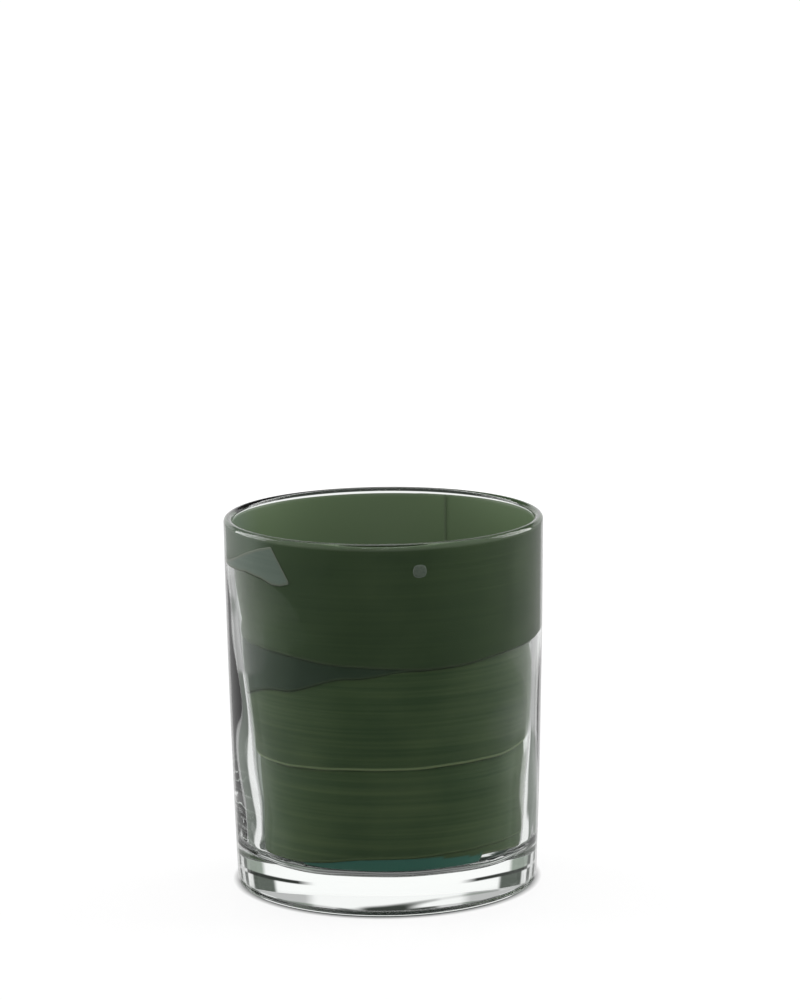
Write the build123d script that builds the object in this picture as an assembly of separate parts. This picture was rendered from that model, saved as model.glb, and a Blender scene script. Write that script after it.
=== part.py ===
"""Leaf-lined glass cylinder vase.

A one-piece glass cylinder with a heavy base holds a removable lining of leaves: five wraps, each
one leaf wound round the inside, a leaf tip folded down between the top wrap and the glass, and one
dot of clear adhesive. Millimetres, +Z up, with the origin on the axis where the vase stands. The
front faces -Y. An azimuth is in degrees round the axis: 0 is the front and 90 is the right, +X.
"""

import os
from math import cos, radians, sin

from build123d import *

# Outside of the glass: a 6 inch by 7 inch cylinder that narrows slightly towards its foot.
HEIGHT = 177.8
RIM_RADIUS = 76.2
SHOULDER_RADIUS, SHOULDER_Z = 75.0, 92.0
FOOT_RADIUS = 72.2
HEEL_FILLET = 2.0
RECESS_RADIUS, RECESS_DEPTH = 61.0, 1.6
RECESS_STEP, RECESS_STEP_WIDTH = 0.8, 1.2

# Inside of the glass: the wall thickens from the rim down to the floor of the heavy base.
RIM_WALL = 4.2
BORE_MID_RADIUS, BORE_MID_Z = 69.2, 97.0
BORE_LOW_RADIUS = 64.0
FLOOR_Z = 17.0
FLOOR_FILLET = 7.0

# Every wrap winds inwards as it goes round, so that its inner end laps under its outer end.
LEAF_THICKNESS = 0.5
LAP_STEP = 0.75
SECTION_ANGLE = 15.0
TIP_ANGLE = 32.0
TIP_WIDTH = 0.12

# One wrap each: the radius of its outer face at two heights, the azimuth of its outer end, the
# angle that it covers, how far its left side is pulled in, and its lower and upper edges as
# heights at azimuths. A full turn repeats the edges, and a height between two is interpolated.
WRAPS = {
    "upper_leaf_wrap": {
        "radii": ((118.0, 69.65), (175.5, 71.45)),
        "start": 196.0,
        "cover": 402.0,
        "pull": 0.0,
        "low": ((-180, 122), (-90, 127.5), (-50, 123), (-12, 119), (20, 117.5), (60, 121), (90, 123.5)),
        "high": ((-180, 175.2), (-90, 175.6), (0, 175.4), (90, 175.6)),
    },
    "second_leaf_wrap": {
        "radii": ((92.0, 68.4), (150.0, 66.5)),
        "start": 166.0,
        "cover": 398.0,
        "pull": 0.4,
        "low": ((-180, 93), (-90, 91.5), (-43, 104.5), (-14, 113), (10, 117), (60, 120), (110, 112)),
        "high": ((-180, 143), (-90, 146), (0, 157), (90, 160)),
    },
    "middle_leaf_wrap": {
        "radii": ((69.0, 67.05), (125.0, 65.5)),
        "start": 214.0,
        "cover": 396.0,
        "pull": 1.2,
        "low": ((-180, 71), (-90, 68.8), (-45, 68.3), (0, 69.8), (45, 70.5), (90, 76)),
        "high": ((-180, 121), (-90, 123), (0, 125), (90, 122)),
    },
    "lower_leaf_wrap": {
        "radii": ((27.0, 64.2), (80.0, 64.9)),
        "start": 180.0,
        "cover": 398.0,
        "pull": 3.2,
        "low": ((-180, 26), (-90, 20.5), (-45, 21.5), (0, 25.5), (30, 27), (70, 28.5), (90, 31.5)),
        "high": ((-180, 79), (-90, 78), (0, 80), (90, 81)),
    },
    "base_leaf_wrap": {
        "radii": ((19.5, 60.3), (46.0, 62.4)),
        "start": 78.0,
        "cover": 282.0,
        "pull": 3.2,
        "low": ((-180, 20.2), (-90, 19.6), (0, 19.6), (78, 19.8), (130, 20.2)),
        "high": ((-180, 44), (-90, 46), (0, 45), (78, 43), (130, 43)),
    },
}
BLUNT = ("base_leaf_wrap",)  # cut square at its outer end, where the others run out to a tip

# The tip that is folded down between the upper wrap and the glass: its lower and upper edges.
FOLD_THICKNESS = 0.35
FOLD_GAP = 0.35
FOLD_EDGES = (
    (-84, 157.4, 158.6),
    (-75, 157.2, 160.8),
    (-67, 157.4, 164.0),
    (-60, 157.9, 167.4),
    (-51, 156.9, 170.6),
    (-45, 155.0, 171.0),
    (-41, 155.0, 165.6),
    (-37, 156.4, 157.8),
)

# The dot of adhesive between the upper wrap and the glass.
DOT_RADIUS, DOT_THICKNESS, DOT_GAP = 3.2, 0.35, 0.35
DOT_AZIMUTH, DOT_Z = 13.0, 164.5


def through(points, at):
    """The value at that place on the parabola through three (place, value) points."""
    total = 0.0
    for i, (place, value) in enumerate(points):
        share = 1.0
        for j, (other, _) in enumerate(points):
            if j != i:
                share *= (at - other) / (place - other)
        total += value * share
    return total


def bore_radius(z):
    """The inner radius of the glass at height z, above the fillet at its floor."""
    rim = (HEIGHT, RIM_RADIUS - RIM_WALL)
    return through(((FLOOR_Z, BORE_LOW_RADIUS), (BORE_MID_Z, BORE_MID_RADIUS), rim), z)


def edge_height(points, azimuth):
    """A wrap's edge at that azimuth, eased between the listed heights and closed over a full turn."""
    azimuth = (azimuth + 180.0) % 360.0 - 180.0
    closed = list(points) + [(points[0][0] + 360.0, points[0][1])]
    for (left, low), (right, high) in zip(closed, closed[1:]):
        if left <= azimuth <= right:
            share = (azimuth - left) / (right - left)
            return low + (high - low) * (3 - 2 * share) * share**2
    raise ValueError(azimuth)


def section(azimuth, edges, outer_radius, thickness):
    """The cut through a leaf at that azimuth: a thin four-sided face between its two edges."""
    turn = radians(azimuth)
    corners = []
    for z, inset in ((edges[0], 0), (edges[1], 0), (edges[1], thickness), (edges[0], thickness)):
        radius = outer_radius(z) - inset
        corners.append((radius * sin(turn), -radius * cos(turn), z))
    return Face(Wire.make_polygon(corners, close=True))


def leaf_wrap(spec, blunt):
    """One leaf wound round inside the glass, on a straight-sided cone that tightens as it goes."""
    (low_z, low_radius), (high_z, high_radius) = spec["radii"]
    slope = (high_radius - low_radius) / (high_z - low_z)
    steps = round(spec["cover"] / SECTION_ANGLE)
    angles = [spec["cover"] * i / steps for i in range(steps + 1)]
    if not blunt:
        angles += [SECTION_ANGLE * share for share in (0.2, 0.5)]
    sections = []
    for angle in sorted(angles):
        azimuth = spec["start"] - angle
        low, high = edge_height(spec["low"], azimuth), edge_height(spec["high"], azimuth)
        if angle < TIP_ANGLE and not blunt:
            # An ellipse's end, so that the leaf runs out to a rounded tip.
            run = 1 - angle / TIP_ANGLE
            width = max(TIP_WIDTH, (1 - run**2) ** 0.5)
            middle, half = (low + high) / 2, (high - low) / 2
            low, high = middle - half * width, middle + half * width
        pulled = spec["pull"] * (1 - sin(radians(azimuth))) / 2 + LAP_STEP * angle / 360

        def outer_radius(z, pulled=pulled):
            return low_radius + slope * (z - low_z) - pulled

        sections.append(section(azimuth, (low, high), outer_radius, LEAF_THICKNESS))
    return Solid.make_loft([face.outer_wire() for face in sections])


def folded_leaf_tip():
    """A leaf tip folded down against the glass, outside the upper wrap."""
    sections = []
    for azimuth, low, high in FOLD_EDGES:
        sections.append(
            section(azimuth, (low, high), lambda z: bore_radius(z) - FOLD_GAP, FOLD_THICKNESS)
        )
    return Solid.make_loft([face.outer_wire() for face in sections])


def adhesive_dot():
    """A thin round dot that follows the bore of the glass."""
    turn = radians(DOT_AZIMUTH)
    outward = Vector(sin(turn), -cos(turn), 0)
    blank = Plane(origin=outward * (BORE_MID_RADIUS - 4) + Vector(0, 0, DOT_Z), z_dir=outward)
    core = extrude(blank * Circle(DOT_RADIUS), 12)
    radius = bore_radius(DOT_Z) - DOT_GAP
    shell = Cylinder(radius, 4 * DOT_RADIUS) - Cylinder(radius - DOT_THICKNESS, 4 * DOT_RADIUS)
    return core & (Pos(0, 0, DOT_Z) * shell)


def glass_cylinder():
    """The vase: a heavy-based cylinder with a rounded rim, a rounded heel and a hollowed underside."""
    bore_top = RIM_RADIUS - RIM_WALL
    ring_radius = RECESS_RADIUS + RECESS_STEP_WIDTH
    dome_middle = RECESS_DEPTH - (RECESS_DEPTH - RECESS_STEP) / 4
    with BuildPart() as vase:
        with BuildSketch(Plane.XZ) as profile:
            with BuildLine():
                ThreePointArc(
                    (0, RECESS_DEPTH), (RECESS_RADIUS / 2, dome_middle), (RECESS_RADIUS, RECESS_STEP)
                )
                Line((RECESS_RADIUS, RECESS_STEP), (ring_radius, 0))
                Line((ring_radius, 0), (FOOT_RADIUS, 0))
                ThreePointArc(
                    (FOOT_RADIUS, 0), (SHOULDER_RADIUS, SHOULDER_Z), (RIM_RADIUS, HEIGHT)
                )
                Line((RIM_RADIUS, HEIGHT), (bore_top, HEIGHT))
                ThreePointArc(
                    (bore_top, HEIGHT), (BORE_MID_RADIUS, BORE_MID_Z), (BORE_LOW_RADIUS, FLOOR_Z)
                )
                Line((BORE_LOW_RADIUS, FLOOR_Z), (0, FLOOR_Z))
                Line((0, FLOOR_Z), (0, RECESS_DEPTH))
            make_face()
            rounded = (
                ((FOOT_RADIUS, 0), HEEL_FILLET),
                ((BORE_LOW_RADIUS, FLOOR_Z), FLOOR_FILLET),
                ((RIM_RADIUS, HEIGHT), 0.49 * RIM_WALL),
                ((bore_top, HEIGHT), 0.49 * RIM_WALL),
            )
            for (radius, z), size in rounded:
                corners = profile.vertices()
                fillet(corners.sort_by_distance(Vector(radius, z, 0))[0], size)
        revolve(axis=Axis.Z)
    return vase.part


def main():
    os.makedirs("parts", exist_ok=True)
    nodes = {
        "glass_cylinder": glass_cylinder(),
        "folded_leaf_tip": folded_leaf_tip(),
        "adhesive_dot": adhesive_dot(),
    }
    for name, spec in WRAPS.items():
        nodes[name] = leaf_wrap(spec, name in BLUNT)
    for name, shape in nodes.items():
        export_step(shape, f"parts/{name}.step")
        print(name, shape.is_valid, round(shape.volume, 2), shape.bounding_box())


if __name__ == "__main__":
    main()
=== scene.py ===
"""Looks of the leaf-lined glass cylinder vase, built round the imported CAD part. Metres."""

import math

import bmesh
import bpy
import numpy as np
from mathutils import Matrix, Vector


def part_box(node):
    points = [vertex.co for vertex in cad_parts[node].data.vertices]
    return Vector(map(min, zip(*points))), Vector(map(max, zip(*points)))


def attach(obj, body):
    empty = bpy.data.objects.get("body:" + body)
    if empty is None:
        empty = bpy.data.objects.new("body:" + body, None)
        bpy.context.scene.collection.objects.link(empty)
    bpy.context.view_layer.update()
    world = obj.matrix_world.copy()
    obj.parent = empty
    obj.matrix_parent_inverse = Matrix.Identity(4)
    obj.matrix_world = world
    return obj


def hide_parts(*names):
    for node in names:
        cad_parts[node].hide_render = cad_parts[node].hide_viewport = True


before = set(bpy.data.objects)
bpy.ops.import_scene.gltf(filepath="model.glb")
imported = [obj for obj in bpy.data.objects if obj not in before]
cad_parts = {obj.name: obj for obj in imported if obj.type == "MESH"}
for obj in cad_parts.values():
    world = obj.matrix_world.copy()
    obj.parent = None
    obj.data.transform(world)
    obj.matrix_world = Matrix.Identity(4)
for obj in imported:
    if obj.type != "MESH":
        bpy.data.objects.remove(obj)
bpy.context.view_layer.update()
MM = 0.001

# ---- Shape of the glass -------------------------------------------------------------------------

glass_low, glass_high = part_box("glass_cylinder")
HEIGHT = glass_high.z
RIM_RADIUS = glass_high.x
SHOULDER_RADIUS, SHOULDER_Z = RIM_RADIUS - 1.2 * MM, 92 * MM
FOOT_RADIUS = RIM_RADIUS - 4.0 * MM
RIM_WALL = 4.2 * MM
LIP = 2.1 * MM
BORE_MID_RADIUS, BORE_MID_Z = RIM_RADIUS - 7.0 * MM, 97 * MM
BORE_LOW_RADIUS = RIM_RADIUS - 12.2 * MM
FLOOR_Z = 17 * MM
FLOOR_FILLET = 7 * MM
HEEL = 2 * MM
RECESS_RADIUS, RECESS_DEPTH = 61 * MM, 1.6 * MM
RECESS_STEP, RECESS_STEP_WIDTH = 0.8 * MM, 1.2 * MM

SEGMENTS = 288

# Waves in the glass: depth in mm, how many go round, lean per metre of height, and phase.
BORE_WAVES = ((0.16, 3, 38, 0.6), (0.12, 5, -74, 2.1), (0.09, 2, 121, 4.0), (0.04, 11, 60, 1.0))
FOOT_STREAKS = ((0.03, 23, 160, 0.0), (0.03, 37, -110, 1.0))
OUTER_WAVES = ((0.035, 4, 52, 0.0), (0.025, 7, -90, 1.3))
# The outside is set in by the height of its waves, in mm, so that none stands proud.
OUTER_INSET = 0.06
# How far the bore lies off centre at the foot.
BORE_SHIFT = 1.6 * MM


def through(points, at):
    """The value at that place on the parabola through three (place, value) points."""
    total = 0.0
    for i, (place, value) in enumerate(points):
        share = 1.0
        for j, (other, _) in enumerate(points):
            if j != i:
                share = share * (at - other) / (place - other)
        total = total + value * share
    return total


def smooth(at, start, end):
    """0 before start, 1 after end, and an eased step between."""
    share = np.clip((at - start) / (end - start), 0.0, 1.0)
    return share * share * (3 - 2 * share)


def wave_sum(waves, azimuth, z):
    """The listed waves added up, in millimetres."""
    turn = np.radians(azimuth)
    return sum(depth * np.sin(count * turn + lean * z + phase) for depth, count, lean, phase in waves)


def outer_radius(z):
    return through(
        ((0.0, FOOT_RADIUS), (SHOULDER_Z, SHOULDER_RADIUS), (HEIGHT, RIM_RADIUS)), z
    )


def bore_nominal(z):
    low, mid = (FLOOR_Z, BORE_LOW_RADIUS), (BORE_MID_Z, BORE_MID_RADIUS)
    return through((low, mid, (HEIGHT, RIM_RADIUS - RIM_WALL)), z)


def bore_wander(azimuth, z):
    """How far the bore strays from round: sideways at the foot, in waves, and in streaks low down."""
    sine = np.sin(np.radians(azimuth))
    sideways = BORE_SHIFT * (1 - smooth(z, 10 * MM, 175 * MM)) * sine
    waves = wave_sum(BORE_WAVES, azimuth, z) * smooth(HEIGHT - z, 6 * MM, 40 * MM)
    streaks = wave_sum(FOOT_STREAKS, azimuth, z) * (1 - smooth(z, 20 * MM, 50 * MM)) * sine**2
    return sideways + MM * (waves + streaks)


def bore_radius(azimuth, z):
    return bore_nominal(z) + bore_wander(azimuth, z)


def outer_wander(azimuth, z):
    """The outside is truer than the inside, but a fire-polished wall is never quite flat."""
    waves = wave_sum(OUTER_WAVES, azimuth, z) - OUTER_INSET
    return MM * waves * smooth(z, 4 * MM, 20 * MM) * smooth(HEIGHT - z, 3 * MM, 15 * MM)


def floor_ripple(azimuth, r):
    """The pressed floor is uneven: it rises and falls by up to half a millimetre round its edge."""
    turn = np.radians(azimuth)
    swell = 0.35 * np.sin(4 * turn + 1.2) + 0.15 * np.sin(9 * turn + 60 * r)
    return MM * swell * (r / BORE_LOW_RADIUS) ** 2


def glass_profile():
    """Points (radius, z, kind) from the middle of the underside, up the outside and down the bore.

    The counts say how finely each stretch is divided."""
    points = []
    dome = RECESS_DEPTH - RECESS_STEP
    for r in np.linspace(0, RECESS_RADIUS, 22):
        points.append((r, RECESS_STEP + dome * (1 - (r / RECESS_RADIUS) ** 2), "under"))
    for share in np.linspace(0, 1, 9)[1:]:
        drop = (1 + math.cos(math.pi * share)) / 2
        points.append((RECESS_RADIUS + RECESS_STEP_WIDTH * share, RECESS_STEP * drop, "under"))
    heel_centre = outer_radius(HEEL) - HEEL
    for r in np.linspace(RECESS_RADIUS + RECESS_STEP_WIDTH, heel_centre, 5)[1:-1]:
        points.append((r, 0.0, "under"))
    for t in np.linspace(-90, 0, 13):
        turn = math.radians(t)
        points.append((heel_centre + HEEL * math.cos(turn), HEEL + HEEL * math.sin(turn), "heel"))
    for z in np.linspace(HEEL, HEIGHT - LIP, 72)[1:]:
        points.append((outer_radius(z), z, "outer"))
    lip_z = HEIGHT - LIP
    middle = (outer_radius(lip_z) + bore_nominal(lip_z)) / 2
    half = (outer_radius(lip_z) - bore_nominal(lip_z)) / 2
    for t in np.linspace(0, 180, 19)[1:-1]:
        turn = math.radians(t)
        points.append((middle + half * math.cos(turn), lip_z + LIP * math.sin(turn), "rim"))
    fillet_z = FLOOR_Z + FLOOR_FILLET
    slope = math.atan((bore_nominal(fillet_z) - bore_nominal(fillet_z - MM)) / MM)
    meet_z = fillet_z - FLOOR_FILLET * math.sin(slope)
    fillet_r = bore_nominal(meet_z) - FLOOR_FILLET * math.cos(slope)
    for z in np.linspace(lip_z, meet_z, 96):
        points.append((bore_nominal(z), z, "bore"))
    for t in np.linspace(-math.degrees(slope), -90, 18)[1:]:
        turn = math.radians(t)
        across, down = FLOOR_FILLET * math.cos(turn), FLOOR_FILLET * math.sin(turn)
        points.append((fillet_r + across, fillet_z + down, "fillet"))
    for r in np.linspace(fillet_r, 0, 24)[1:]:
        points.append((r, FLOOR_Z, "floor"))
    return points


# ---- Mesh helpers -------------------------------------------------------------------------------


def mesh_object(name, verts, faces, material, smooth_faces=True):
    mesh = bpy.data.meshes.new(name)
    mesh.from_pydata([tuple(v) for v in verts], [], faces)
    mesh.validate()
    shell = bmesh.new()
    shell.from_mesh(mesh)
    bmesh.ops.recalc_face_normals(shell, faces=shell.faces)
    shell.to_mesh(mesh)
    shell.free()
    for polygon in mesh.polygons:
        polygon.use_smooth = smooth_faces
    mesh.materials.append(material)
    obj = bpy.data.objects.new(name, mesh)
    bpy.context.scene.collection.objects.link(obj)
    return obj


def at_azimuth(radius, azimuth, z):
    turn = np.radians(azimuth)
    return np.stack([radius * np.sin(turn), -radius * np.cos(turn), z + 0 * turn], axis=-1)


def painted_shade_in_base(r, z):
    """1 on the heel, the step under the foot and the fillet of the floor, where the glass gets
    painted shade.
    """
    on_heel = r > FOOT_RADIUS - HEEL - 0.3 * MM and z < MM
    on_step = abs(r - RECESS_RADIUS - RECESS_STEP_WIDTH / 2) < 0.9 * MM and z < MM
    near_corner = BORE_LOW_RADIUS - 8 * MM < r < BORE_LOW_RADIUS + 3 * MM
    on_fillet = near_corner and abs(z - FLOOR_Z) < 2.2 * MM
    return float(on_heel or on_step or on_fillet)


def build_glass(material):
    profile = glass_profile()
    azimuths = np.linspace(-180, 180, SEGMENTS, endpoint=False)
    verts, rings = [], []
    for r, z, kind in profile:
        if r == 0:
            rings.append([len(verts)])
            verts.append((0.0, 0.0, z))
            continue
        radius = np.full(SEGMENTS, float(r))
        height = np.full(SEGMENTS, float(z))
        if kind in ("outer", "heel"):
            radius += outer_wander(azimuths, height)
        if kind in ("bore", "fillet"):
            radius += bore_wander(azimuths, height)
        if kind == "floor":
            radius += bore_wander(azimuths, height) * (r / BORE_LOW_RADIUS) ** 2
        if kind in ("fillet", "floor"):
            height += floor_ripple(azimuths, r) * smooth(FLOOR_Z + FLOOR_FILLET - z, 0, FLOOR_FILLET)
        rings.append(list(range(len(verts), len(verts) + SEGMENTS)))
        verts.extend(at_azimuth(radius, azimuths, height))
    faces = []
    for lower, upper in zip(rings, rings[1:]):
        for i in range(SEGMENTS):
            j = (i + 1) % SEGMENTS
            if len(lower) == 1:
                faces.append((lower[0], upper[i], upper[j]))
            elif len(upper) == 1:
                faces.append((lower[j], lower[i], upper[0]))
            else:
                faces.append((lower[j], lower[i], upper[i], upper[j]))
    obj = mesh_object("glass_body", verts, faces, material)
    # Painted shade: the "dark" mark darkens the glass's colour on the heel, the step and the floor's
    # fillet.
    dark = [painted_shade_in_base(math.hypot(x, y), z) for x, y, z in verts]
    obj.data.attributes.new("dark", "FLOAT", "POINT").data.foreach_set("value", dark)
    return obj


def edge_height(points, azimuth):
    """An edge's height at each azimuth, eased between the listed ones and closed over a full turn."""
    azimuth = (azimuth + 180.0) % 360.0 - 180.0
    closed = list(points) + [(points[0][0] + 360.0, points[0][1])]
    height = np.zeros_like(azimuth)
    for (left, low), (right, high) in zip(closed, closed[1:]):
        inside = (azimuth >= left) & (azimuth <= right)
        share = (azimuth - left) / (right - left)
        eased = low + (high - low) * (3 - 2 * share) * share**2
        height = np.where(inside, eased, height)
    return height * MM


# Lengths along a leaf are measured at this radius.
LEAF_RADIUS = 68 * MM
# Rows lie closer together at a leaf's edges: 0 would space them evenly.
ROW_CROWDING = 0.45


def leaf_mesh(name, azimuth, low, high, radius_at, thickness, material, rows=30):
    """A thin closed leaf: columns follow the azimuths, rows run from the lower to the upper edge.

    The outer and inner faces meet in a narrow rounded edge. UV is length and height in metres, and
    the attributes "edge" and "inner" hold the distance to the nearest edge and which face it is."""
    columns = len(azimuth)
    span = np.radians(np.abs(azimuth - azimuth[0])) * LEAF_RADIUS
    across = np.linspace(0, 1, rows)
    across = across - ROW_CROWDING * np.sin(2 * np.pi * across) / (2 * np.pi)
    grid_z = low[:, None] + (high - low)[:, None] * across[None, :]
    grid_a = np.repeat(azimuth[:, None], rows, axis=1)
    outer = radius_at(grid_a, grid_z)
    to_edge = np.minimum(grid_z - low[:, None], high[:, None] - grid_z)
    to_end = np.minimum(span - span[0], span[-1] - span)[:, None]
    to_edge = np.minimum(to_edge, to_end)
    round_off = 0.35 * thickness * np.exp(-to_edge / (0.5 * MM))
    front = at_azimuth(outer - round_off, grid_a, grid_z)
    back = at_azimuth(outer - thickness + round_off, grid_a, grid_z)
    verts = np.concatenate([front.reshape(-1, 3), back.reshape(-1, 3)])
    faces = []
    offset = columns * rows

    def at(i, j, side):
        return side * offset + i * rows + j

    forward = azimuth[-1] > azimuth[0]
    for side in (0, 1):
        for i in range(columns - 1):
            for j in range(rows - 1):
                corners = ((i, j), (i + 1, j), (i + 1, j + 1), (i, j + 1))
                quad = tuple(at(column, row, side) for column, row in corners)
                faces.append(quad if (side == 0) == forward else quad[::-1])
    border = [(i, 0) for i in range(columns)] + [(columns - 1, j) for j in range(1, rows)]
    border += [(i, rows - 1) for i in range(columns - 2, -1, -1)]
    border += [(0, j) for j in range(rows - 2, 0, -1)]
    for (i, j), (k, m) in zip(border, border[1:] + border[:1]):
        quad = (at(i, j, 0), at(i, j, 1), at(k, m, 1), at(k, m, 0))
        faces.append(quad if forward else quad[::-1])
    obj = mesh_object(name, verts, faces, material)
    mesh = obj.data
    edge = mesh.attributes.new("edge", "FLOAT", "POINT")
    edge.data.foreach_set("value", np.tile(to_edge.reshape(-1), 2).astype(np.float32))
    inner = mesh.attributes.new("inner", "FLOAT", "POINT")
    flags = np.concatenate([np.zeros(offset), np.ones(offset)]).astype(np.float32)
    inner.data.foreach_set("value", flags)
    uv = mesh.uv_layers.new(name="UVMap")
    plan = np.stack([np.repeat(span[:, None], rows, axis=1), grid_z], axis=-1).reshape(-1, 2)
    plan = np.concatenate([plan, plan])
    index = np.zeros(len(mesh.loops), dtype=np.int32)
    mesh.loops.foreach_get("vertex_index", index)
    uv.data.foreach_set("uv", plan[index].astype(np.float32).reshape(-1))
    return obj


# ---- Materials ----------------------------------------------------------------------------------


def add_node(tree, kind, inputs=None, **settings):
    """A new node, with its settings, and each input linked to an output or given a value."""
    node = tree.nodes.new(kind)
    for key, value in settings.items():
        setattr(node, key, value)
    for key, value in (inputs or {}).items():
        if hasattr(value, "links"):
            tree.links.new(value, node.inputs[key])
        else:
            node.inputs[key].default_value = value
    return node


class Nodes:
    """A short way to write a material's node tree."""

    def __init__(self, name):
        self.material = bpy.data.materials.new(name)
        self.material.use_nodes = True
        self.tree = self.material.node_tree
        self.shader = self.tree.nodes["Principled BSDF"]

    def add(self, kind, inputs=None, **settings):
        return add_node(self.tree, kind, inputs, **settings)

    def fact(self, name):
        """The attribute of that name, stored on the mesh."""
        return self.add("ShaderNodeAttribute", attribute_name=name).outputs["Fac"]

    def link(self, output, key):
        self.tree.links.new(output, self.shader.inputs[key])

    def set(self, key, value):
        self.shader.inputs[key].default_value = value

    def maths(self, operation, a, b=0.0):
        return self.add("ShaderNodeMath", {0: a, 1: b}, operation=operation).outputs[0]

    def ramp(self, value, low, high, to_low=0.0, to_high=1.0):
        inputs = {"Value": value, "From Min": low, "From Max": high}
        inputs.update({"To Min": to_low, "To Max": to_high})
        return self.add("ShaderNodeMapRange", inputs).outputs[0]

    def mix(self, share, a, b):
        return self.add("ShaderNodeMix", {0: share, 6: a, 7: b}, data_type="RGBA").outputs[2]


# DARK_COLOUR is painted shade, used at grazing angles and on the marked parts of the base.
CLEAR_COLOUR, DARK_COLOUR = (0.965, 0.985, 0.97), (0.008, 0.012, 0.010)
# The glass's colour darkens where it is seen at a grazing angle, between these two shares of the way
# there: painted shade for its dark edges, deeper than thick glass's own tint.
GRAZING_START, GRAZING_END = 0.80, 0.94


def glass_material():
    m = Nodes("clear_glass")
    m.set("Roughness", 0.0)
    m.set("IOR", 1.5)
    m.set("Transmission Weight", 1.0)
    m.set("Specular Tint", (0.12, 0.12, 0.12, 1))
    # Painted shade: the colour turns dark at grazing angles and where the base is marked dark.
    grazing = m.add("ShaderNodeLayerWeight", {"Blend": 0.5}).outputs["Facing"]
    edge = m.ramp(grazing, GRAZING_START, GRAZING_END)
    shade = m.maths("MAXIMUM", edge, m.fact("dark"))
    m.link(m.mix(shade, (*CLEAR_COLOUR, 1), (*DARK_COLOUR, 1)), "Base Color")
    return m.material


# Painted shade: the dark teal of the base wrap's front hem.
HEM_SHADE_COLOUR = (0.051, 0.150, 0.116)
PALE_GREY_COLOUR = (0.115, 0.150, 0.110)
# The scale of the fine veins and of the broad streaks, per metre along a leaf and across it.
VEIN_SCALE, STREAK_SCALE = (7, 620, 1), (5, 150, 1)
LEAF_ROUGHNESS = (0.35, 0.52)


def leaf_material(name, top, top_light, under, pale_margin_and_highlight, seed, streak=0.35):
    """Leaf skin: fine veins along the leaf, soft blotches, a paler edge that is partly painted
    highlight, and a greyer underside.
    """
    m = Nodes(name)
    uv = m.add("ShaderNodeUVMap", uv_map="UVMap").outputs[0]
    along = m.add("ShaderNodeMapping", {"Vector": uv, "Scale": VEIN_SCALE})
    along.inputs["Location"].default_value = (seed, seed * 1.7, seed)
    fine = m.add("ShaderNodeTexNoise", {"Vector": along.outputs[0], "Scale": 1.0, "Detail": 3.0})
    broad_map = m.add("ShaderNodeMapping", {"Vector": uv, "Scale": STREAK_SCALE})
    broad_map.inputs["Location"].default_value = (seed * 2.3, seed, 0)
    broad = m.add("ShaderNodeTexNoise", {"Vector": broad_map.outputs[0], "Scale": 1.0, "Detail": 2.0})
    place = m.add("ShaderNodeTexCoord").outputs["Object"]
    patch = m.add("ShaderNodeTexNoise", {"Vector": place, "Scale": 28.0, "Detail": 4.0})
    fine_veins = m.ramp(fine.outputs[0], 0.38, 0.68, 0, 0.8)
    broad_streaks = m.ramp(broad.outputs[0], 0.4, 0.7, 0, 0.3)
    veins = m.maths("MULTIPLY", m.maths("ADD", fine_veins, broad_streaks), streak)
    blotches = m.ramp(patch.outputs[0], 0.35, 0.7, -0.1, 0.35)
    tone = m.ramp(m.maths("ADD", veins, blotches), 0, 1)
    skin = m.mix(tone, (*top, 1), (*top_light, 1))
    skin = m.mix(m.ramp(m.fact("inner"), 0.4, 0.6), skin, (*under, 1))
    # The paler edge is the leaf's own margin plus a painted highlight that lightens the shadow line
    # under an overlapping leaf.
    skin = m.mix(m.ramp(m.fact("edge"), 0.45 * MM, 1.5 * MM, 0.9, 0.0), skin, (*pale_margin_and_highlight, 1))
    # Painted shade on the front hem of the base wrap.
    skin = m.mix(m.fact("hem_shade"), skin, (*HEM_SHADE_COLOUR, 1))
    skin = m.mix(m.fact("paler_grey_mark"), skin, (*PALE_GREY_COLOUR, 1))
    m.link(skin, "Base Color")
    m.link(m.ramp(patch.outputs[0], 0.3, 0.7, *LEAF_ROUGHNESS), "Roughness")
    bump = m.add("ShaderNodeBump", {"Height": veins, "Strength": 0.2, "Distance": 0.1 * MM})
    m.link(bump.outputs[0], "Normal")
    m.set("Specular IOR Level", 0.12)
    return m.material


def adhesive_material():
    m = Nodes("clear_adhesive")
    m.set("Roughness", 0.35)
    place = m.add("ShaderNodeTexCoord").outputs["Object"]
    cloud = m.add("ShaderNodeTexNoise", {"Vector": place, "Scale": 900.0, "Detail": 3.0})
    m.link(m.mix(cloud.outputs[0], (0.055, 0.075, 0.055, 1), (0.13, 0.16, 0.125, 1)), "Base Color")
    return m.material


# ---- Leaves -------------------------------------------------------------------------------------

LEAF_THICKNESS = 0.45 * MM
# A wrap's inner end laps under its outer end: it moves this many millimetres further in, eased
# between these two angles from the outer end.
LAP = 0.65
LAP_START, LAP_END = 296.0, 326.0
# The outer end of a wrap narrows to a round tip over this angle.
TIP_ANGLE = 32.0
# Degrees between the columns of a wrap's mesh.
COLUMN_STEP = 1.5

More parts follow.
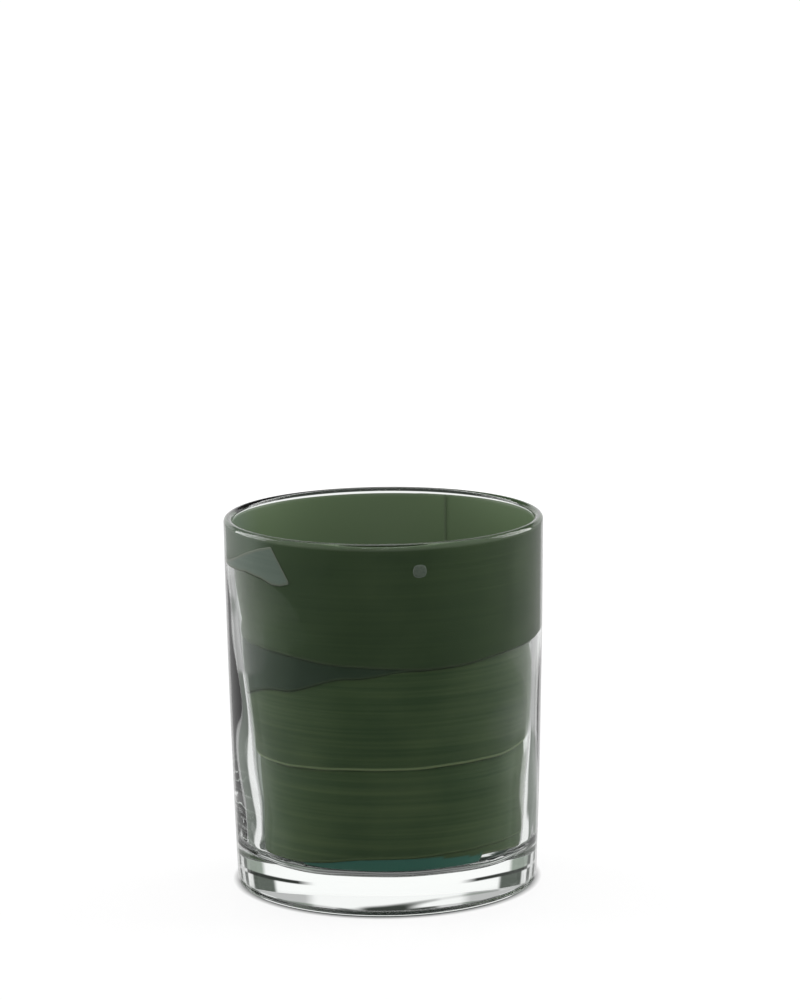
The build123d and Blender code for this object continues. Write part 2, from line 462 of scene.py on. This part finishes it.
# One wrap each, in degrees and millimetres: the azimuth of its outer end, the angle it covers, its
# gap to the bore as (height, left, front and back, right), how much further in it lies at the back,
# how narrowly the side gaps keep to the sides, and its lower and upper edges as (azimuth, height).
# A gap below zero means that the wet leaf clings to the glass.
WRAPS = {
    "upper_leaf_wrap": {
        "start": 196.0,
        "cover": 402.0,
        "gap": (
            (118, 0.4, -0.12, -0.12),
            (125, 0.7, -0.12, -0.12),
            (131, 2.0, -0.12, -0.12),
            (142, 1.2, -0.12, -0.12),
            (154, 0.4, -0.12, -0.12),
            (160, -0.12, -0.12, -0.12),
        ),
        "back": 0,
        "side_power": 4,
        "low": (
            (-180, 122), (-90, 127.5), (-50, 123), (-12, 119), (20, 117.5), (60, 121), (90, 123.5)
        ),
        "high": ((-180, 175.2), (-90, 175.6), (0, 175.4), (90, 175.6)),
    },
    "second_leaf_wrap": {
        "start": 166.0,
        "cover": 398.0,
        "gap": (
            (90, 1.0, 0.7, 1.2),
            (105, 0.9, 0.5, 1.2),
            (117, 1.0, 0.42, 0.55),
            (124, 1.4, 0.5, 0.7),
            (131, 2.6, 0.9, 1.2),
            (150, 4.8, 2.5, 3.0),
        ),
        "back": 0.6,
        "side_power": 2,
        "low": (
            (-180, 93), (-90, 91.5), (-43, 104.5), (-14, 113), (10, 117), (60, 121), (110, 112)
        ),
        "high": ((-180, 143), (-90, 146), (0, 157), (90, 160)),
    },
    "middle_leaf_wrap": {
        "start": 214.0,
        "cover": 396.0,
        "gap": (
            (66, 2.0, 0.6, 1.9),
            (78, 1.5, 0.8, 0.6),
            (89, 1.2, 1.0, 0.35),
            (94, 1.7, 1.2, 0.35),
            (108, 1.9, 1.1, 0.35),
            (120, 2.6, 1.05, 1.7),
            (128, 4.4, 1.5, 2.4),
        ),
        "back": 1.25,
        "side_power": 2,
        "low": ((-180, 71), (-90, 68.8), (-45, 68.3), (0, 69.8), (45, 70.5), (90, 76)),
        "high": ((-180, 121), (-90, 123), (0, 125), (90, 122)),
    },
    "lower_leaf_wrap": {
        "start": 180.0,
        "cover": 398.0,
        "gap": (
            (20, 1.0, 1.2, 0.8),
            (30, 1.7, 1.0, 0.4),
            (38, 2.2, 1.1, 0.35),
            (52, 3.2, 1.2, 0.35),
            (58, 3.6, 1.3, 0.6),
            (64, 3.9, 1.4, 2.4),
            (80, 4.6, 2.0, 4.2),
        ),
        "back": 1.6,
        "side_power": 2,
        "low": (
            (-180, 26), (-90, 20.5), (-45, 21.5), (0, 26.5), (30, 27.5), (70, 28.5), (90, 31.5)
        ),
        "high": ((-180, 79), (-90, 78), (0, 80), (90, 81)),
    },
    "base_leaf_wrap": {
        "start": 78.0,
        "cover": 282.0,
        "gap": ((19, 3.1, 1.8, 1.4), (30, 3.5, 1.65, 0.95), (46, 4.9, 1.9, 1.0)),
        "back": 2.4,
        "side_power": 2,
        "low": (
            (-180, 22), (-90, 21), (-40, 23), (-38, 19.6), (40, 19.6), (42, 23.5), (78, 20.5),
            (130, 21),
        ),
        "high": ((-180, 44), (-90, 46), (0, 45), (78, 43), (130, 43)),
    },
}
# Painted shade: the hem of the base wrap is darkened to a teal at the front, standing in for the
# shaded back of the wrap seen through the glass.
HEM_SHADE_NODE, HEM_SHADE_HALF_ANGLE, HEM_SHADE_HEIGHT = "base_leaf_wrap", 44.0, 26.5 * MM
# The upper wrap is paler and greyer next to the folded tip.
PALE_GREY_NODE = "upper_leaf_wrap"

# Skin colours of the leaves: the outer face, its veins and blotches, and the inner face.
DARK = dict(top=(0.036, 0.060, 0.028), top_light=(0.058, 0.090, 0.040), under=(0.09, 0.13, 0.07))
# SHADED is painted shade: a darker, greyer copy of DARK for the second wrap, behind and below the
# upper wrap.
SHADED = dict(top=(0.025, 0.041, 0.026), top_light=(0.040, 0.062, 0.038), under=(0.09, 0.13, 0.07))
GREEN = dict(
    top=(0.037, 0.065, 0.029), top_light=(0.080, 0.116, 0.052), under=(0.10, 0.15, 0.07), streak=0.55
)
# Each pale edge colour is partly the leaf's paler margin and partly painted highlight along the edge.
FINISH = {
    "upper_leaf_wrap": ("dark_leaf", dict(DARK, pale_margin_and_highlight=(0.08, 0.11, 0.065), seed=1.0)),
    "second_leaf_wrap": ("dark_leaf", dict(SHADED, pale_margin_and_highlight=(0.06, 0.085, 0.05), seed=4.0)),
    "middle_leaf_wrap": ("green_leaf", dict(GREEN, pale_margin_and_highlight=(0.30, 0.38, 0.20), seed=7.0)),
    "lower_leaf_wrap": ("green_leaf", dict(GREEN, pale_margin_and_highlight=(0.12, 0.17, 0.08), seed=11.0)),
    "base_leaf_wrap": ("green_leaf", dict(GREEN, pale_margin_and_highlight=(0.12, 0.15, 0.08), seed=15.0)),
}


def mark(mesh, name, strength):
    """Store the strength at each vertex, found from its azimuth and height, as an attribute."""
    flags = []
    for vertex in mesh.vertices:
        x, y, z = vertex.co
        flags.append(float(strength(math.degrees(math.atan2(x, -y)), z)))
    mesh.attributes.new(name, "FLOAT", "POINT").data.foreach_set("value", flags)


def shaded_hem(azimuth, z):
    line = HEM_SHADE_HEIGHT - 3 * MM * (azimuth / HEM_SHADE_HALF_ANGLE) ** 2
    return abs(azimuth) < HEM_SHADE_HALF_ANGLE and z < line


def paler_grey_patch(azimuth, z):
    return smooth(z, 158 * MM, 166 * MM) * smooth(-azimuth, 42, 58) * smooth(azimuth, -125, -100)


def build_wrap(node, spec):
    """One leaf, wound round inside the bore from its outer end to its inner end."""
    count = round(spec["cover"] / COLUMN_STEP) + 1
    angle = np.linspace(0, spec["cover"], count)
    azimuth = spec["start"] - angle
    low, high = edge_height(spec["low"], azimuth), edge_height(spec["high"], azimuth)
    # The lower edge wanders by a fifth of a millimetre.
    seed = spec["start"]
    wobble = 0.14 * np.sin(np.radians(azimuth * 7 + seed)) + 0.07 * np.sin(np.radians(azimuth * 19))
    low = low + MM * wobble
    # The base wrap is cut straight, and the others narrow to a tip.
    if node != "base_leaf_wrap":
        run = np.clip(1 - angle / TIP_ANGLE, 0, 1)
        width = np.maximum(0.04, np.sqrt(1 - run**2))
        middle, half = (low + high) / 2, (high - low) / 2
        low, high = middle - half * width, middle + half * width
    levels = np.array(spec["gap"], dtype=float)

    def radius_at(grid_a, grid_z):
        turned = spec["start"] - grid_a
        side = np.sin(np.radians(grid_a))
        left, middle, right = (np.interp(grid_z / MM, levels[:, 0], levels[:, k]) for k in (1, 2, 3))
        share = np.abs(side) ** spec["side_power"]
        gap = middle + (np.where(side < 0, left, right) - middle) * share
        gap = gap + spec["back"] * np.clip(-np.cos(np.radians(grid_a)), 0, 1)
        lap = LAP * smooth(turned, LAP_START, LAP_END)
        return bore_radius(grid_a, grid_z) - MM * (gap + lap)

    slot, finish = FINISH[node]
    material = leaf_material(node, **finish)
    obj = leaf_mesh(node + "_leaf", azimuth, low, high, radius_at, LEAF_THICKNESS, material)
    if node == HEM_SHADE_NODE:
        mark(obj.data, "hem_shade", shaded_hem)
    if node == PALE_GREY_NODE:
        mark(obj.data, "paler_grey_mark", paler_grey_patch)
    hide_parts(node)
    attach(obj, "leaf_lining")


# The folded tip: azimuth in degrees, and the heights of its lower and upper edges in millimetres.
FOLD_EDGES = (
    (-84, 157.6, 158.4),
    (-75, 157.2, 160.8),
    (-67, 157.4, 164.0),
    (-60, 158.2, 167.4),
    (-51, 156.9, 171.2),
    (-45, 154.8, 173.0),
    (-41, 154.9, 165.6),
    (-37, 156.4, 157.6),
)
# The tip and the dot sit this far inside the glass surface, so that no air shows between them.
FOLD_SINK, FOLD_THICKNESS = 0.5 * MM, 0.3 * MM
DOT_AZIMUTH, DOT_Z, DOT_RADIUS = 13.0, 164.5 * MM, 70 * MM
DOT_HALF_SIZE, DOT_BULGE, DOT_SINK = 3.1 * MM, 0.12 * MM, 0.28 * MM


def build_fold():
    places = np.array(FOLD_EDGES, dtype=float)
    azimuth = np.linspace(places[0, 0], places[-1, 0], 90)
    low = np.interp(azimuth, places[:, 0], places[:, 1]) * MM
    high = np.interp(azimuth, places[:, 0], places[:, 2]) * MM
    material = leaf_material(
        "folded_leaf_tip",
        top=(0.125, 0.165, 0.135),
        top_light=(0.18, 0.23, 0.19),
        under=(0.05, 0.08, 0.04),
        pale_margin_and_highlight=(0.16, 0.18, 0.14),
        seed=21.0,
    )

    def radius_at(grid_a, grid_z):
        return bore_radius(grid_a, grid_z) + FOLD_SINK

    obj = leaf_mesh(
        "folded_leaf_tip_leaf", azimuth, low, high, radius_at, FOLD_THICKNESS, material, rows=24
    )
    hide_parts("folded_leaf_tip")
    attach(obj, "leaf_lining")


def build_dot():
    """A rounded-square dab of adhesive, pressed flat against the glass."""
    rings, spokes = 8, 48
    verts, faces = [], []
    for side in (1, -1):
        for k in range(rings + 1):
            reach = k / rings
            bulge = DOT_BULGE * (1 - reach**6)
            for s in range(spokes):
                turn = 2 * math.pi * s / spokes
                cosine, sine = math.cos(turn), math.sin(turn)
                squarish = (abs(cosine) ** 4 + abs(sine) ** 4) ** -0.25
                spread = DOT_HALF_SIZE * reach * (0.55 + 0.45 * squarish)
                height = np.array(DOT_Z + spread * sine)
                place = np.array(DOT_AZIMUTH + math.degrees(spread * cosine / DOT_RADIUS))
                radius = bore_radius(place, height) + DOT_SINK + side * bulge
                verts.append(at_azimuth(radius, place, height))
    ring = spokes * (rings + 1)
    for side in (0, 1):
        for k in range(rings):
            for s in range(spokes):
                t = (s + 1) % spokes
                a = side * ring + k * spokes
                quad = (a + s, a + spokes + s, a + spokes + t, a + t)
                faces.append(quad if side == 0 else quad[::-1])
    for s in range(spokes):
        t = (s + 1) % spokes
        a, b = rings * spokes, ring + rings * spokes
        faces.append((a + s, b + s, b + t, a + t))
    obj = mesh_object("adhesive_dab", verts, faces, adhesive_material())
    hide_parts("adhesive_dot")
    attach(obj, "leaf_lining")


glass = build_glass(glass_material())
glass.visible_shadow = False
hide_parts("glass_cylinder")
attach(glass, "vase")
for node, spec in WRAPS.items():
    build_wrap(node, spec)
build_fold()
build_dot()

# ---- Studio -------------------------------------------------------------------------------------

FLOOR_HALF = 14.0
# How bright the surroundings are at each angle from straight behind the vase, in degrees. There is
# one ring of panels for each level: what the base shows low down, the thin dark line over that, what
# it shows higher up, what the outer wall reflects, and what the thick side walls show.
TOP_PANELS = (
    (179, 0.8), (78, 0.8), (75, 0.1), (73, 0.1), (71, 0.9), (66, 0.9), (65, 0.1), (61, 0.1),
    (60, 0.9), (55, 0.9), (53, 0.12), (38, 0.12), (36, 1.0), (1, 1.0),
)
LINE_PANELS = ((179, 0.8), (62, 0.8), (60, 0.03), (26, 0.03), (20, 1.0), (1, 1.0))
HIGH_PANELS = (
    (179, 0.8), (78, 0.8), (75, 0.1), (73, 0.1), (71, 0.9), (66, 0.9), (65, 0.1), (61, 0.1),
    (60, 0.36), (45, 0.36), (42, 1.0), (1, 1.0),
)
MIDDLE_PANELS = ((179, 0.1), (150, 0.1), (130, 0.5), (24, 0.5), (20, 0.95), (1, 0.95))
LOW_PANELS = (
    (179, 0.32), (130, 0.34), (62, 0.3), (60, 0.12), (50, 0.12), (48, 0.95), (38, 0.95),
    (36, 0.18), (22, 0.26), (20, 0.6), (14, 0.6), (12, 0.05), (1, 0.05),
)
# The darker panels are a little green, as thick glass is.
SHADE_TINT, SHADE_LIMIT = (0.88, 1.0, 0.88), 0.5
# Brightness of the sky above the panels and of the ground far below them.
SKY, GROUND = 0.10, 0.22
# The contact shadow: how dark, and where it starts and ends from the edge of the foot.
SHADOW, SHADOW_INSIDE, SHADOW_OUTSIDE = 0.75, 1.7 * MM, 2.6 * MM


def build_floor():
    """A pale table that glows a little more further out, with a soft painted contact shadow round the
    foot.
    """
    m = Nodes("white_table")
    m.set("Roughness", 0.6)
    m.set("Base Color", (0.12, 0.12, 0.12, 1))
    m.set("Emission Color", (1, 1, 1, 1))
    place = m.add("ShaderNodeTexCoord").outputs["Object"]
    away = m.add("ShaderNodeVectorMath", {0: place}, operation="LENGTH").outputs["Value"]
    shadow_start, shadow_end = FOOT_RADIUS - SHADOW_INSIDE, FOOT_RADIUS + SHADOW_OUTSIDE
    shadow = m.ramp(away, shadow_start, shadow_end, SHADOW, 0.0)
    glow = m.maths("SUBTRACT", m.ramp(away, 0.3, 1.6, 0.80, 0.98), shadow)
    m.link(glow, "Emission Strength")
    s = FLOOR_HALF
    verts = [(-s, -s, 0), (s, -s, 0), (s, s, 0), (-s, s, 0)]
    obj = mesh_object("floor", verts, [(0, 1, 2, 3)], m.material, smooth_faces=False)
    obj.visible_glossy = False
    obj.visible_transmission = False


def softbox(name, place, target, width, height, power):
    """A soft lamp that lights the leaves but is seen neither directly nor through the glass."""
    light = bpy.data.lights.new(name, "AREA")
    light.shape = "RECTANGLE"
    light.size, light.size_y = width, height
    light.energy = power
    obj = bpy.data.objects.new(name, light)
    bpy.context.scene.collection.objects.link(obj)
    obj.location = place
    obj.visible_camera = False
    obj.visible_transmission = False
    aim = np.array(target) - np.array(place)
    obj.rotation_euler = Vector(aim).to_track_quat("-Z", "Y").to_euler()


build_floor()
softbox("left_softbox", (-1.5, 0.55, 0.7), (0, 0, 0.1), 1.2, 1.4, 30)
softbox("right_softbox", (1.5, 0.55, 0.7), (0, 0, 0.1), 1.2, 1.4, 34)
softbox("top_softbox", (0, 0.3, 2.0), (0, 0, 0), 2.0, 2.0, 25)
softbox("front_softbox", (0, -2.4, 1.3), (0, 0, 0.1), 1.6, 0.8, 36)


def build_world():
    """What the glass reflects and bends: a belt of panels round the vase, between sky and ground."""
    world = bpy.data.worlds.new("studio")
    bpy.context.scene.world = world
    world.use_nodes = True
    tree = world.node_tree

    def maths(operation, *values):
        inputs = dict(enumerate(values))
        return add_node(tree, "ShaderNodeMath", inputs, operation=operation).outputs[0]

    def panels(brightness_by_angle):
        ramp = add_node(tree, "ShaderNodeValToRGB", {0: facing})
        for angle, value in brightness_by_angle:
            stop = ramp.color_ramp.elements.new(0.5 + 0.5 * math.cos(math.radians(angle)))
            tint = SHADE_TINT if value < SHADE_LIMIT else (1, 1, 1)
            stop.color = (*(value * share for share in tint), 1)
        ramp.color_ramp.elements.remove(ramp.color_ramp.elements[0])
        ramp.color_ramp.elements.remove(ramp.color_ramp.elements[-1])
        return ramp.outputs[0]

    def blend(start, end, first, second):
        """The first colour before the height start, the second past the height end, eased between."""
        inputs = {0: height, 1: start, 2: end}
        share = add_node(tree, "ShaderNodeMapRange", inputs, interpolation_type="SMOOTHSTEP")
        inputs = {0: share.outputs[0], 6: first, 7: second}
        return add_node(tree, "ShaderNodeMix", inputs, data_type="RGBA").outputs[2]

    # Heights run from -1, straight down, to 1, straight up.
    direction = add_node(tree, "ShaderNodeTexCoord").outputs["Generated"]
    x, y, height = add_node(tree, "ShaderNodeSeparateXYZ", {0: direction}).outputs
    level = maths("POWER", maths("MULTIPLY_ADD", y, y, maths("MULTIPLY", x, x)), 0.5)
    facing = maths("MULTIPLY_ADD", maths("DIVIDE", y, level), 0.5, 0.5)
    belt = blend(-0.06, 0.02, panels(MIDDLE_PANELS), panels(HIGH_PANELS))
    belt = blend(0.268, 0.273, belt, panels(LINE_PANELS))
    belt = blend(0.281, 0.286, belt, panels(TOP_PANELS))
    belt = blend(-0.292, -0.308, belt, panels(LOW_PANELS))
    belt = blend(0.31, 0.37, belt, (SKY, SKY, SKY, 1))
    belt = blend(-0.74, -0.84, belt, (GROUND, GROUND, GROUND, 1))
    tree.links.new(belt, tree.nodes["Background"].inputs["Color"])
    tree.nodes["Background"].inputs["Strength"].default_value = 1.0


build_world()

# ---- Camera -------------------------------------------------------------------------------------

# Metres and degrees.
CAMERA_DISTANCE, CAMERA_HEIGHT = 1.729, 0.502
CAMERA_PITCH, CAMERA_PAN, CAMERA_ROLL = 10.4, 0.267, -0.62
camera_data = bpy.data.cameras.new("camera")
camera_data.lens = 132.9
camera_data.sensor_width = 36
camera = bpy.data.objects.new("camera", camera_data)
bpy.context.scene.collection.objects.link(camera)
camera.location = (0, -CAMERA_DISTANCE, CAMERA_HEIGHT)
aim = (
    Matrix.Rotation(math.radians(-CAMERA_PAN), 4, "Z")
    @ Matrix.Rotation(math.radians(90 - CAMERA_PITCH), 4, "X")
    @ Matrix.Rotation(math.radians(CAMERA_ROLL), 4, "Z")
)
camera.rotation_euler = aim.to_euler()
bpy.context.scene.camera = camera

scene = bpy.context.scene
scene.view_settings.view_transform = "Standard"
scene.cycles.use_denoising = True
scene.cycles.max_bounces = 24
scene.cycles.transmission_bounces = 24
scene.cycles.glossy_bounces = 12
scene.cycles.transparent_max_bounces = 24
scene.cycles.caustics_refractive = False
scene.cycles.caustics_reflective = False
